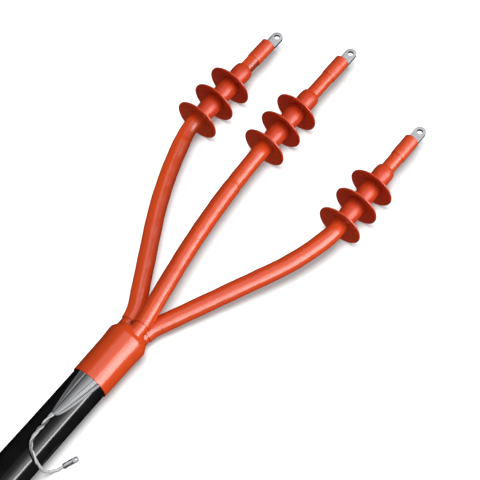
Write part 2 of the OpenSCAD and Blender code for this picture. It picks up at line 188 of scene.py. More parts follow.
def smoothLine(points, steps):
    line = []
    last = len(points) - 1
    for i in range(last):
        p0, p1, p2, p3 = (points[max(i - 1, 0)], points[i], points[i + 1], points[min(i + 2, last)])
        for k in range(steps):
            t = k / steps
            line.append(0.5 * (2 * p1 + (p2 - p0) * t + (2 * p0 - 5 * p1 + 4 * p2 - p3) * t ** 2
                               + (3 * p1 - p0 - 3 * p2 + p3) * t ** 3))
    line.append(points[last])
    return line


def axisPath(y=0.0, z=0.0):
    return lambda x: Matrix.Translation((x, y, z))


# Shared effects
def newGroup(name, inputs, outputs):
    group = bpy.data.node_groups.new(name, "ShaderNodeTree")
    for label, kind, value in inputs:
        socket = group.interface.new_socket(label, in_out="INPUT", socket_type="NodeSocket" + kind)
        socket.default_value = value
    for label, kind in outputs:
        group.interface.new_socket(label, in_out="OUTPUT", socket_type="NodeSocket" + kind)
    return group, group.nodes.new("NodeGroupInput").outputs, group.nodes.new("NodeGroupOutput").inputs


def mathNode(group, operation, a, b=None, c=None):
    node = group.nodes.new("ShaderNodeMath")
    node.operation = operation
    for i, value in enumerate((a, b, c)):
        if value is None:
            continue
        if isinstance(value, (int, float)):
            node.inputs[i].default_value = value
        else:
            group.links.new(value, node.inputs[i])
    return node.outputs[0]


def noiseNode(group, vector, scale, detail=3.0, roughness=0.55):
    node = group.nodes.new("ShaderNodeTexNoise")
    node.inputs["Detail"].default_value = detail
    node.inputs["Roughness"].default_value = roughness
    group.links.new(vector, node.inputs["Vector"])
    if isinstance(scale, (int, float)):
        node.inputs["Scale"].default_value = scale
    else:
        group.links.new(scale, node.inputs["Scale"])
    return node.outputs["Fac"]


def mixColor(group, share, first, second):
    node = group.nodes.new("ShaderNodeMix")
    node.data_type = "RGBA"
    for label, value in (("Factor", share), ("A", first), ("B", second)):
        if isinstance(value, tuple):
            node.inputs[label].default_value = value
        else:
            group.links.new(value, node.inputs[label])
    return node.outputs["Result"]


# Place on a skin: across or round it, and along it
def wrapParts(group):
    wrap = group.nodes.new("ShaderNodeUVMap")
    wrap.uv_map = "wrap"
    parts = group.nodes.new("ShaderNodeSeparateXYZ")
    group.links.new(wrap.outputs["UV"], parts.inputs[0])
    return parts.outputs[0], parts.outputs[1]


# Patches of a second colour, and a drift in gloss that goes with them
def buildPatches():
    group, taken, given = newGroup(
        "patches",
        [("Color", "Color", (0.5, 0.5, 0.5, 1)), ("Patch Color", "Color", (0.3, 0.3, 0.3, 1)),
         ("Scale", "Float", 20.0), ("Amount", "Float", 0.3),
         ("Roughness", "Float", 0.4), ("Gloss Drift", "Float", 0.1)],
        [("Color", "Color"), ("Roughness", "Float")])
    where = group.nodes.new("ShaderNodeTexCoord").outputs["Object"]
    wide = noiseNode(group, where, taken["Scale"], 4.0)
    ramp = group.nodes.new("ShaderNodeMapRange")
    ramp.inputs["From Min"].default_value = 0.35
    ramp.inputs["From Max"].default_value = 0.7
    group.links.new(wide, ramp.inputs["Value"])
    mask = ramp.outputs["Result"]
    share = mathNode(group, "MULTIPLY", mask, taken["Amount"])
    patched = mixColor(group, share, taken["Color"], taken["Patch Color"])
    group.links.new(patched, given["Color"])
    drift = mathNode(group, "MULTIPLY", mask, taken["Gloss Drift"])
    group.links.new(mathNode(group, "ADD", taken["Roughness"], drift), given["Roughness"])
    return group


# Fine grain over a slow ripple, as a height
def buildGrain():
    group, taken, given = newGroup(
        "grain",
        [("Fine Scale", "Float", 900.0), ("Slow Scale", "Float", 70.0),
         ("Fine", "Float", 0.3), ("Slow", "Float", 0.7)],
        [("Height", "Float")])
    where = group.nodes.new("ShaderNodeTexCoord").outputs["Object"]
    layers = []
    for label in ("Fine", "Slow"):
        noise = noiseNode(group, where, taken[label + " Scale"], 2.0)
        layers.append(mathNode(group, "MULTIPLY", noise, taken[label]))
    group.links.new(mathNode(group, "ADD", *layers), given["Height"])
    return group


# Lines drawn along or round a swept skin, as a height
def buildDrawnLines():
    group, taken, given = newGroup(
        "drawnLines",
        [("Round Scale", "Float", 60.0), ("Along Scale", "Float", 5.0)],
        [("Height", "Float")])
    u, v = wrapParts(group)
    joiner = group.nodes.new("ShaderNodeCombineXYZ")
    turn = mathNode(group, "MULTIPLY", u, tau)
    for i, wave in enumerate(("SINE", "COSINE")):
        reach = mathNode(group, "MULTIPLY", mathNode(group, wave, turn), taken["Round Scale"])
        group.links.new(reach, joiner.inputs[i])
    group.links.new(mathNode(group, "MULTIPLY", v, taken["Along Scale"]), joiner.inputs[2])
    group.links.new(noiseNode(group, joiner.outputs[0], 1.0, 3.0), given["Height"])
    return group


# Crossing wires of a flat or round braid, as a height and a mask for the painted shade in the gaps between
# the wires
def buildBraid():
    group, taken, given = newGroup(
        "braid",
        [("Across", "Float", 40.0), ("Along", "Float", 400.0)],
        [("Height", "Float"), ("Mask", "Float")])
    u, v = wrapParts(group)
    across = mathNode(group, "MULTIPLY", u, taken["Across"])
    along = mathNode(group, "MULTIPLY", v, taken["Along"])
    lays = []
    for slant in ("ADD", "SUBTRACT"):
        wave = mathNode(group, "SINE", mathNode(group, slant, across, along))
        lays.append(mathNode(group, "ABSOLUTE", wave))
    top = mathNode(group, "MAXIMUM", *lays)
    group.links.new(top, given["Height"])
    gapSharpness = 3.0
    group.links.new(mathNode(group, "POWER", top, gapSharpness), given["Mask"])
    return group


# Painted shade: dark bands mixed into the colour along a fold or a twist, standing in for the shade there
def buildPaintedShadeBands():
    group, taken, given = newGroup(
        "paintedShadeBands",
        [("Color", "Color", (0.5, 0.5, 0.5, 1)), ("Across", "Float", 6.0), ("Along", "Float", 10.0),
         ("Start", "Float", 0.0), ("Stray", "Float", 1.0), ("Sharp", "Float", 3.0),
         ("Amount", "Float", 0.5)],
        [("Color", "Color")])
    u, v = wrapParts(group)
    across = mathNode(group, "MULTIPLY", u, taken["Across"])
    along = mathNode(group, "MULTIPLY", v, taken["Along"])
    where = group.nodes.new("ShaderNodeTexCoord").outputs["Object"]
    strayScale = 45.0
    noise = noiseNode(group, where, strayScale, 2.0)
    stray = mathNode(group, "MULTIPLY_ADD", noise, taken["Stray"], taken["Start"])
    wave = mathNode(group, "SINE", mathNode(group, "ADD", mathNode(group, "ADD", across, along), stray))
    band = mathNode(group, "POWER", mathNode(group, "MULTIPLY_ADD", wave, 0.5, 0.5), taken["Sharp"])
    share = mathNode(group, "MULTIPLY", band, taken["Amount"])
    # Near-black that the painted shade mixes into the colour
    paintedShadeColor = (0.05, 0.05, 0.055, 1)
    shaded = mixColor(group, share, taken["Color"], paintedShadeColor)
    group.links.new(shaded, given["Color"])
    return group


patches = buildPatches()
paintedShadeBands = buildPaintedShadeBands()
grain = buildGrain()
drawnLines = buildDrawnLines()
braid = buildBraid()
print("shared effects built")


# Materials
def addGroup(tree, group, values):
    node = tree.nodes.new("ShaderNodeGroup")
    node.node_tree = group
    for label, value in values.items():
        node.inputs[label].default_value = value
    return node


def startMaterial(name, settings):
    material = bpy.data.materials.new(name)
    material.use_nodes = True
    tree = material.node_tree
    shader = tree.nodes["Principled BSDF"]
    for label, value in settings.get("shader", {}).items():
        shader.inputs[label].default_value = value
    values = {label: settings[label] for label in ("Scale", "Amount", "Roughness", "Gloss Drift")}
    for label in ("Color", "Patch Color"):
        values[label] = (*settings[label], 1)
    tint = addGroup(tree, patches, values)
    tree.links.new(tint.outputs["Color"], shader.inputs["Base Color"])
    tree.links.new(tint.outputs["Roughness"], shader.inputs["Roughness"])
    return material, tree, shader, tint


def addBump(tree, shader, height, distance, strength=1.0):
    node = tree.nodes.new("ShaderNodeBump")
    node.inputs["Distance"].default_value = distance
    node.inputs["Strength"].default_value = strength
    tree.links.new(height, node.inputs["Height"])
    if shader.inputs["Normal"].is_linked:
        tree.links.new(shader.inputs["Normal"].links[0].from_socket, node.inputs["Normal"])
    tree.links.new(node.outputs["Normal"], shader.inputs["Normal"])


def grained(name, settings):
    material, tree, shader, tint = startMaterial(name, settings)
    node = addGroup(tree, grain, settings["grain"])
    addBump(tree, shader, node.outputs["Height"], settings["depth"])
    if "lines" in settings:
        lines = addGroup(tree, drawnLines, settings["lines"])
        addBump(tree, shader, lines.outputs["Height"], settings["lineDepth"])
    if "braid" in settings:
        wires = addGroup(tree, braid, settings["braid"])
        addBump(tree, shader, wires.outputs["Height"], settings["braidDepth"])
        # Painted shade in the gaps between the braid's wires
        wired = mixColor(tree, wires.outputs["Mask"], (*settings["gapShadeColor"], 1), tint.outputs["Color"])
        tree.links.new(wired, shader.inputs["Base Color"])
    # Painted shade bands darken the base colour
    if "paintedShadeBands" in settings:
        shade = addGroup(tree, paintedShadeBands, {**settings["paintedShadeBands"], "Amount": settings["foldShade"]})
        tree.links.new(shader.inputs["Base Color"].links[0].from_socket, shade.inputs["Color"])
        tree.links.new(shade.outputs["Color"], shader.inputs["Base Color"])
    return material


shrinkLook = {
    "Color": (0.75, 0.075, 0.012), "Patch Color": (0.67, 0.055, 0.009), "Scale": 16.0, "Amount": 0.45,
    "Roughness": 0.20, "Gloss Drift": 0.08, "shader": {"Specular IOR Level": 0.5},
    "grain": {"Fine Scale": 1400.0, "Slow Scale": 90.0, "Fine": 0.08, "Slow": 0.92}, "depth": 0.00015,
    "lines": {"Round Scale": 1.6, "Along Scale": 170.0}, "lineDepth": 0.00004,
}
shrinkRed = grained("shrinkRed", shrinkLook)
sealRed = grained("sealRed", {**shrinkLook, "Roughness": 0.30})
# Sheds wear a darker copy of the shrink colour: painted shade for their undersides
shedRed = grained("shedRed", {
    "Color": (0.66, 0.060, 0.012), "Patch Color": (0.58, 0.045, 0.009), "Scale": 22.0, "Amount": 0.4,
    "Roughness": 0.26, "Gloss Drift": 0.08, "shader": {"Specular IOR Level": 0.30},
    "grain": {"Fine Scale": 1600.0, "Slow Scale": 110.0, "Fine": 0.15, "Slow": 0.85}, "depth": 0.0004,
})
cableBlack = grained("cableBlack", {
    "Color": (0.0065, 0.0065, 0.0072), "Patch Color": (0.016, 0.016, 0.017), "Scale": 30.0, "Amount": 0.5,
    "Roughness": 0.12, "Gloss Drift": 0.04, "shader": {"Specular IOR Level": 0.5},
    "grain": {"Fine Scale": 1500.0, "Slow Scale": 45.0, "Fine": 0.1, "Slow": 0.9}, "depth": 0.00006,
    "lines": {"Round Scale": 14.0, "Along Scale": 4.0}, "lineDepth": 0.00003,
})
brightTin = grained("brightTin", {
    "Color": (0.66, 0.66, 0.69), "Patch Color": (0.56, 0.57, 0.60), "Scale": 120.0, "Amount": 0.5,
    "Roughness": 0.22, "Gloss Drift": 0.08, "shader": {"Metallic": 0.95},
    "grain": {"Fine Scale": 2400.0, "Slow Scale": 300.0, "Fine": 0.4, "Slow": 0.6}, "depth": 0.0001,
})
braidLook = {
    "Color": (0.74, 0.75, 0.77), "Patch Color": (0.62, 0.63, 0.65), "Scale": 60.0, "Amount": 0.5,
    "Roughness": 0.28, "Gloss Drift": 0.10, "shader": {"Metallic": 0.6},
    "grain": {"Fine Scale": 2600.0, "Slow Scale": 240.0, "Fine": 0.4, "Slow": 0.6}, "depth": 0.00006,
    "braid": {"Across": 46.0, "Along": 1500.0}, "braidDepth": 0.00003, "gapShadeColor": (0.64, 0.65, 0.67),
}
# The straps' braid carries painted shade bands across each strap
strapBraid = grained("strapBraid", {
    **braidLook, "foldShade": 0.85,
    "paintedShadeBands": {"Across": 4.2, "Along": 0.0, "Start": 1.3, "Stray": 0.6, "Sharp": 1.5}})
# The lead's braid is a lighter copy of the braid colour, painted light, and its painted shade bands make
# one strand dark
leadBraid = grained("leadBraid", {
    **braidLook, "Color": (0.97, 0.97, 0.98), "Patch Color": (0.90, 0.90, 0.92),
    "shader": {"Metallic": 0.25}, "foldShade": 0.9,
    "paintedShadeBands": {"Across": 6.2832, "Along": 0.0, "Start": -1.1, "Stray": 1.2, "Sharp": 1.6}})
bareCopper = grained("bareCopper", {
    "Color": (0.72, 0.30, 0.16), "Patch Color": (0.50, 0.19, 0.09), "Scale": 180.0, "Amount": 0.6,
    "Roughness": 0.32, "Gloss Drift": 0.15, "shader": {"Metallic": 1.0},
    "grain": {"Fine Scale": 2400.0, "Slow Scale": 400.0, "Fine": 0.5, "Slow": 0.5}, "depth": 0.0001,
})
paleInsulation = grained("paleInsulation", {
    "Color": (0.72, 0.70, 0.62), "Patch Color": (0.62, 0.60, 0.52), "Scale": 60.0, "Amount": 0.4,
    "Roughness": 0.38, "Gloss Drift": 0.10, "shader": {"Subsurface Weight": 0.1, "Subsurface Scale": 0.002},
    "grain": {"Fine Scale": 1800.0, "Slow Scale": 200.0, "Fine": 0.5, "Slow": 0.5}, "depth": 0.00012,
})
mattBlack = grained("mattBlack", {
    "Color": (0.018, 0.018, 0.019), "Patch Color": (0.032, 0.032, 0.033), "Scale": 80.0, "Amount": 0.5,
    "Roughness": 0.58, "Gloss Drift": 0.12,
    "grain": {"Fine Scale": 2000.0, "Slow Scale": 220.0, "Fine": 0.6, "Slow": 0.4}, "depth": 0.00015,
})
steelTape = grained("steelTape", {
    "Color": (0.48, 0.49, 0.50), "Patch Color": (0.33, 0.33, 0.33), "Scale": 90.0, "Amount": 0.6,
    "Roughness": 0.34, "Gloss Drift": 0.18, "shader": {"Metallic": 1.0},
    "grain": {"Fine Scale": 2200.0, "Slow Scale": 260.0, "Fine": 0.5, "Slow": 0.5}, "depth": 0.0001,
})
fibreFiller = grained("fibreFiller", {
    "Color": (0.66, 0.61, 0.50), "Patch Color": (0.46, 0.42, 0.33), "Scale": 420.0, "Amount": 0.7,
    "Roughness": 0.82, "Gloss Drift": 0.1,
    "grain": {"Fine Scale": 2600.0, "Slow Scale": 900.0, "Fine": 0.6, "Slow": 0.4}, "depth": 0.0006,
})
print("materials made")


def dress(piece, material, slotName, *nodes):
    piece.data.materials.append(material)
    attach(piece, "root")
    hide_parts(*nodes)
    return piece


# Route of the cores, worked out as in the solids
coreSettings = {
    "conductorR": 0.008, "insulationR": 0.0137, "screenR": 0.0147, "fingerR": 0.0162, "tubeR": 0.0181,
    "tubeHighR": 0.0172, "tubeEndR": 0.0148, "barrelR": 0.0129, "sealR": 0.0162,
    "layGap": 0.0003, "crotchGap": 0.0014, "spreadR": 0.150, "fanR": 0.100, "closeR": 0.120,
    "shoulderX": 0.401, "fanStart": 0.003, "fingerBare": 0.014, "fingerLen": 0.072, "stressLen": 0.260,
    "insulationPast": 0.044,
}
core = SimpleNamespace(**coreSettings)
phases = {
    "left": {"lay": -5, "fan": 29, "run": 0.169, "close": 15.5},
    "middle": {"lay": 115, "fan": 11.5, "run": 0.121, "close": 2},
    "right": {"lay": 235, "fan": 26.5, "run": 0.246, "close": 10.5},
}
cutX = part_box("cable_sheath")[0].x
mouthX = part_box("breakout_boot")[0].x
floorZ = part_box("breakout_boot")[0].z
layR = (core.screenR + core.layGap / 2) * 2 / sqrt(3)
fanLayR = (2 * core.tubeR + core.crotchGap) / sqrt(3)
spreadTurn = acos(1 - (fanLayR - layR) / (2 * core.spreadR))
spreadX = core.shoulderX - 2 * core.spreadR * sin(spreadTurn)


def stretchMatrix(length, radius, turn, roll):
    if radius == 0:
        return Matrix.Translation((length, 0, 0))
    angle = copysign(length / radius, turn)
    shift = Vector((radius * sin(abs(angle)), copysign(radius * (1 - cos(angle)), turn), 0))
    rolled = Matrix.Rotation(roll, 4, "X")
    return rolled @ Matrix.Translation(shift) @ Matrix.Rotation(angle, 4, "Z") @ rolled.inverted()


class CoreRoute:
    def __init__(self, name):
        settings = phases[name]
        shed = middleOf(name + "_shed_1")
        lay = radians(settings["lay"])
        fan = radians(settings["fan"])
        close = radians(settings["close"])
        run = settings["run"]
        acrossY = shed.y - fanLayR * cos(lay)
        acrossZ = shed.z - fanLayR * sin(lay)
        across = hypot(acrossY, acrossZ)
        roll = atan2(acrossZ, acrossY)
        longR = (across - core.fanR * (1 - cos(fan)) - run * sin(fan)
                 - core.closeR * (1 - cos(close))) / (cos(close) - cos(fan))
        self.side, self.height = shed.y, shed.z
        self.start = Matrix.Translation((cutX, layR * cos(lay), layR * sin(lay)))
        self.stretches = [
            (spreadX - cutX, 0, 0, 0),
            (core.spreadR * spreadTurn, core.spreadR, spreadTurn, lay),
            (core.spreadR * spreadTurn, core.spreadR, -spreadTurn, lay),
            (core.fanStart, 0, 0, 0),
            (core.fanR * fan, core.fanR, fan, roll),
            (run, 0, 0, 0),
            (longR * (fan - close), longR, close - fan, roll),
            (core.closeR * close, core.closeR, -close, roll),
        ]
        self.shoulder = sum(s[0] for s in self.stretches[:3])
        self.bendEnd = sum(s[0] for s in self.stretches)
        self.bendX = self.at(self.bendEnd).translation.x

    def at(self, station):
        matrix = self.start.copy()
        left = station
        for length, radius, turn, roll in self.stretches:
            part = min(left, length)
            matrix = matrix @ stretchMatrix(part, radius, turn, roll)
            left -= part
            if left <= 0:
                return matrix
        return matrix @ Matrix.Translation((left, 0, 0))

    def station(self, x):
        return self.bendEnd + x - self.bendX


routes = {name: CoreRoute(name) for name in phases}
print("core routes end at", {name: round(r.bendX, 4) for name, r in routes.items()})


# Earth lead: route of the solid, three strands that twist and then merge
leadSettings = {
    "diameter": 0.007, "strands": 3, "strandShare": 0.46, "steps": 14, "sides": 12, "seed": 7,
    "twistPitch": 0.042, "twistStray": 0.5, "strayRate": 60, "pinch": 0.16, "pinchRate": 210,
    "thickStart": 1.2, "thickEnd": 0.78, "mergeFrom": 0.35, "mergeTo": 0.7, "mergeIn": 0.5,
    "mergeSwell": 0.45, "mergeTone": 0.83, "toneSpan": 0.15,
}
leadRoute = [Vector(p) * millimetre for p in (
    (172, -1, 41), (158, -1, 41), (144, -1, 41), (130, -1, 41), (117, -3, 41.5), (105, -8, 41),
    (96, -17, 39), (90, -28, 32), (87, -37, 21), (87, -42, 8), (88, -44, -6), (91, -45, -18),
    (96, -46, -28), (103, -49, -34), (112, -54, -36.5), (123, -58, -36.8),
)]


def lineFrames(line):
    frames = []
    normal = Vector((0, 0, 1))
    for i, point in enumerate(line):
        heading = (line[min(i + 1, len(line) - 1)] - line[max(i - 1, 0)]).normalized()
        normal = (normal - heading * normal.dot(heading)).normalized()
        frames.append((point, normal, heading.cross(normal)))
    return frames


def makeEarthLead(settings):
    own = SimpleNamespace(**settings)
    line = smoothLine(leadRoute, own.steps)
    frames = lineFrames(line)
    travel = [0.0]
    for a, b in zip(line, line[1:]):
        travel.append(travel[-1] + (b - a).length)
    total = travel[-1]
    strandR = own.diameter / 2 * own.strandShare
    offset = own.diameter / 2 - strandR
    draw = random.Random(own.seed)
    sides = own.sides
    parts = []
    for strand in range(own.strands):
        points, faces, wraps = [], [], []
        # Each strand takes its own place on the painted shade bands, so the twist shows as light and dark
        # strands; where the strands merge they all take the light place
        tone = strand / own.strands
        phase = tau * tone
        wobble = [draw.uniform(0, anyTurn) for _ in range(4)]
        tones = []
        for (point, normal, side), s in zip(frames, travel):
            turn = phase + tau * s / own.twistPitch
            turn += own.twistStray * sin(s * own.strayRate + wobble[0])
            share = s / total
            merge = softStep(own.mergeFrom, own.mergeTo, share)
            thick = own.thickStart + (own.thickEnd - own.thickStart) * share
            swell = 1 + own.pinch * (1 - merge) * sin(s * own.pinchRate + wobble[1])
            swell += own.mergeSwell * merge
            radius = strandR * swell * thick
            reach = offset * thick * (1 - own.mergeIn * merge)
            centre = point + (normal * cos(turn) + side * sin(turn)) * reach
            tones.append(tone + (own.mergeTone - tone) * merge)
            for j in range(sides):
                a = tau * j / sides + turn
                points.append(centre + (normal * cos(a) + side * sin(a)) * radius)
        rings = len(line)
        for k in range(rings - 1):
            for j in range(sides):
                n = (j + 1) % sides
                faces.append((k * sides + j, (k + 1) * sides + j, (k + 1) * sides + n, k * sides + n))
                left, right = own.toneSpan * j / sides, own.toneSpan * (j + 1) / sides
                wraps.extend([(tones[k] + left, travel[k]), (tones[k + 1] + left, travel[k + 1]),
                              (tones[k + 1] + right, travel[k + 1]), (tones[k] + right, travel[k])])
        faces.append(tuple(range(sides)))
        wraps.extend([(tone, 0)] * sides)
        faces.append(tuple((rings - 1) * sides + j for j in reversed(range(sides))))
        wraps.extend([(tone, total)] * sides)
        parts.append((points, faces, wraps))
    return makePiece("earthLead", *joined(parts)), line, total


earthLead, leadLine, leadLength = makeEarthLead(leadSettings)
dress(earthLead, leadBraid, "tinned", "earth_lead")
print("earth lead length", round(leadLength, 4))


# Flat plate around a hole: the outer edge is the palm's outline seen from the hole
def palmData(place, width, root, thick, holeR, bevel, sides=64):
    def edge(a, inset):
        half = width / 2 - inset
        if cos(a) >= 0:
            return half
        return min(half / max(abs(sin(a)), 1e-6), (root - inset) / abs(cos(a)))

    top = thick / 2
    holeBevel = bevel * 0.7
    edgeRound = bevel * 0.3
    rings = [("hole", 0, top - holeBevel), ("hole", 0, holeBevel - top)]
    for sign in (-1, 1):
        ring = [("hole", -holeBevel, sign * top), ("edge", bevel, sign * top),
                ("edge", edgeRound, sign * (top - edgeRound)), ("edge", 0, sign * (top - bevel))]
        rings.extend(ring[::-sign])
    points = []
    for kind, inset, z in rings:
        for j in range(sides):
            a = tau * (j + 0.5) / sides
            reach = holeR - inset if kind == "hole" else edge(a, inset)
            points.append(place @ Vector((reach * cos(a), reach * sin(a), z)))
    starts = [(k * sides, True) for k in range(len(rings))]
    return points, *bandData(starts, range(len(rings)), sides, True)


# Earth lug: crimped barrel and a small palm
earthLugSettings = {
    "barrelR": 0.005, "wall": 0.0012, "barrelLen": 0.020, "palmLen": 0.007, "palmThick": 0.0025,
    "palmRoot": 0.55, "holeR": 0.00265, "crimpAt": 0.010, "crimpWidth": 0.0042, "crimpDepth": 0.0009,
    "crimpEven": 0.55, "crimpFaces": 4, "bevel": 0.0004, "endDrop": 0.4,
    "steps": 24, "sides": 40, "palmSides": 48,
}


def makeEarthLug(settings):
    own = SimpleNamespace(**settings)
    heading = leadRoute[-1] - leadRoute[-2]
    yaw = atan2(heading.y, heading.x)
    place = Matrix.Translation(leadRoute[-1]) @ Matrix.Rotation(yaw, 4, "Z")
    place = place @ Matrix.Translation((seamClearance, 0, 0))
    outer, length, edge = own.barrelR, own.barrelLen, own.bevel
    endR = outer - own.wall * own.endDrop

    def crimp(x, angle):
        dent = bump(own.crimpAt, own.crimpWidth, x)
        press = own.crimpEven + (1 - own.crimpEven) * cos(own.crimpFaces * angle)
        return -own.crimpDepth * dent * press

    outline = [(0, 0), (0, endR), (edge, outer)]
    outline += [(x, outer) for x in evenly(edge, length - edge, own.steps)]
    outline += [(length, endR), (length, 0)]
    barrel = skinData(lambda x: place @ Matrix.Translation((x, 0, 0)), outline, own.sides, crimp)
    hole = place @ Matrix.Translation((length + own.palmLen, 0, 0))
    palm = palmData(hole, 2 * outer, length * own.palmRoot + own.palmLen,
                    own.palmThick, own.holeR, edge, own.palmSides)
    return makePiece("earthLug", *joined([barrel, palm]), sharpAngle=35)


earthLug = dress(makeEarthLug(earthLugSettings), brightTin, "tinned", "earth_lug")
print("earth lug made")


# Earth straps: flat braids that fan out from the gather point to the boot's mouth
strapSettings = {
    "sheathR": 0.0370473, "thick": 0.001, "left": 0.012, "width": 0.008, "gap": 0.0015, "endWidth": 0.0015,
    # shades: where each strap starts and spans on the painted shade bands, so strap 1 is painted darkest
    # and strap 2 darker towards its left edge, as painted shade and painted reflection
    "shares": (1, 2, 1, 0.5), "shades": ((-0.3, 0.6), (-0.05, 0.47), (0.42, 0.33), (0.5, 0.3)),
    "wider": 0.007, "fanLeft": 0.75, "fanRight": 0.45, "gatherRise": 0.0016, "gatherLen": 0.16,
    "underShare": 0.4, "foldDepth": 0.0012, "foldFade": 0.8, "rollAt": 0.8, "rollWidth": 0.16,
    "rollStray": 0.05, "strayRate": 9, "strayShift": 6, "creaseAt": 0.25, "creaseWidth": 0.12,
    "creaseShare": 0.4, "edgeThin": 0.45,
    "acrossSteps": 24, "alongSteps": 56, "seed": 20,
}


def makeStrap(index, settings):
    own = SimpleNamespace(**settings)
    name = "strap_%d" % (index + 1)
    low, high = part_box(name)
    leftY = own.left - sum(own.shares[:index]) * own.width - index * own.gap
    rightY = leftY - own.shares[index] * own.width
    if index == 0:
        leftY += own.wider
    if index == 1:
        rightY -= own.gap - 2 * seamClearance
    shadeAt, shadeSpan = own.shades[index]
    endLeft = (2 - index) * own.endWidth
    endRight = endLeft - own.endWidth + seamClearance
    inner = own.sheathR + seamClearance
    across, along = own.acrossSteps, own.alongSteps
    shift = random.Random(own.seed + index).uniform(0, 1)

    def surface(u, v, lift):
        x = low.x + (high.x - low.x) * v
        t = min((x - low.x) / (mouthX - low.x), 1)
        spread = t ** (own.fanLeft + (own.fanRight - own.fanLeft) * (index + u) / 4)
        y = endLeft + (leftY - endLeft) * spread
        y += (endRight + (rightY - endRight) * spread - y) * u
        rollAt = own.rollAt + own.rollStray * sin(own.strayRate * t + own.strayShift * shift)
        roll = bump(rollAt, own.rollWidth, u)
        roll += own.creaseShare * bump(own.creaseAt, own.creaseWidth, u)
        fold = own.foldDepth * roll if lift > 0 else 0
        radius = inner + lift + fold * (1 - own.foldFade * t)
        gather = own.gatherRise * (1 - softStep(0, own.gatherLen, t))
        radius += gather if lift > 0 else own.underShare * gather
        return Vector((x, y, sqrt(max(radius * radius - y * y, 0))))

    points, faces, wraps = [], [], []
    crowns = [own.thick] * (across + 1)
    crowns[0] = crowns[-1] = own.thick * own.edgeThin
    for i in range(along + 1):
        points.extend(surface(j / across, i / along, crown) for j, crown in enumerate(crowns))
        points.extend(surface(1 - j / across, i / along, 0) for j in range(across + 1))
    count = 2 * (across + 1)
    for i in range(along):
        for j in range(count):
            n = (j + 1) % count
            faces.append((i * count + j, i * count + n, (i + 1) * count + n, (i + 1) * count + j))
            u0, u1 = shadeAt + shadeSpan * j / across, shadeAt + shadeSpan * (j + 1) / across
            v0, v1 = (high.x - low.x) * i / along, (high.x - low.x) * (i + 1) / along
            wraps.extend([(u0, v0), (u1, v0), (u1, v1), (u0, v1)])
    faces.append(tuple(reversed(range(count))))
    faces.append(tuple(along * count + j for j in range(count)))
    wraps.extend([(0, 0)] * (2 * count))
    return makePiece("earthStrap%d" % (index + 1), points, faces, wraps, sharpAngle=50)


for index in range(4):
    dress(makeStrap(index, strapSettings), strapBraid, "tinned", "strap_%d" % (index + 1))
print("earth straps made")


# Cable sheath with its skin left on the clamped stretch
cableSettings = {
    "boreR": 0.0345473, "sheathR": 0.0370473, "edge": 0.0006, "edgeRound": 0.3, "skinFade": 0.100,
    "steps": 60, "sides": 128,
}


def makeCable(settings):
    own = SimpleNamespace(**settings)
    low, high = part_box("cable_sheath")
    clampR = high.z
    clampEnd = -low.x
    bore, edge = own.boreR, own.edge
    soft = edge * own.edgeRound
    outline = [(low.x, bore), (low.x, clampR - edge), (low.x + soft, clampR - soft), (low.x + edge, clampR)]
    for x in evenly(low.x + edge, high.x, own.steps):
        bare = softStep(clampEnd, clampEnd + own.skinFade, x)
        outline.append((x, clampR + (own.sheathR - clampR) * bare))
    outline.append((high.x, bore))
    return makePiece("cableSheath", *skinData(axisPath(), outline, own.sides))


cable = dress(makeCable(cableSettings), cableBlack, "sheath", "cable_sheath")
print("cable made")


# Breakout boot: a turned body and three fingers, melted into one skin
bootSettings = {
    "boreR": 0.0372473, "boreLen": 0.075, "mouthR": 0.0392473, "bodyR": 0.0403473, "bodyLen": 0.076,
    "bulgeR": 0.0419473, "bulgeAt": 0.112, "shoulderLen": 0.019, "shoulderDrop": 0.010, "voxel": 0.0011,
    "fingerRoot": 0.015, "smoothTurns": 5, "smoothShare": 0.5, "crotchTurns": 10, "crotchShare": 0.6,
    "bodySides": 128, "fingerSteps": 20,
    "crotchReach": 0.030, "keepPast": 0.001, "keepFade": 0.006, "keepDepth": 0.0008, "mouthSkip": 0.0007,
}


def bootOutline(settings):
    own = SimpleNamespace(**settings)
    bodyR, bulgeR = own.bodyR, own.bulgeR
    bodyLen, bulgeAt = own.bodyLen, own.bulgeAt
    boreX = mouthX + own.boreLen
    endX = mouthX + bulgeAt + own.shoulderLen
    outline = [(boreX, 0), (boreX, own.boreR), (mouthX, own.boreR), (mouthX, own.mouthR)]
    for t in (0, *evenly(0, 1, 12)):
        swell = (1 - cos(pi * t)) / 2
        outline.append((mouthX + bodyLen + (bulgeAt - bodyLen) * t, bodyR + (bulgeR - bodyR) * swell))
    outline += [(endX, bulgeR - own.shoulderDrop), (endX, 0)]
    return outline


def relaxed(points, edges, weights, turns):
    counts = np.bincount(edges.ravel(), minlength=len(points))
    for _ in range(turns):
        sums = np.zeros_like(points)
        np.add.at(sums, edges[:, 0], points[edges[:, 1]])
        np.add.at(sums, edges[:, 1], points[edges[:, 0]])
        points = points + weights[:, None] * (sums / np.maximum(counts, 1)[:, None] - points)
    return points


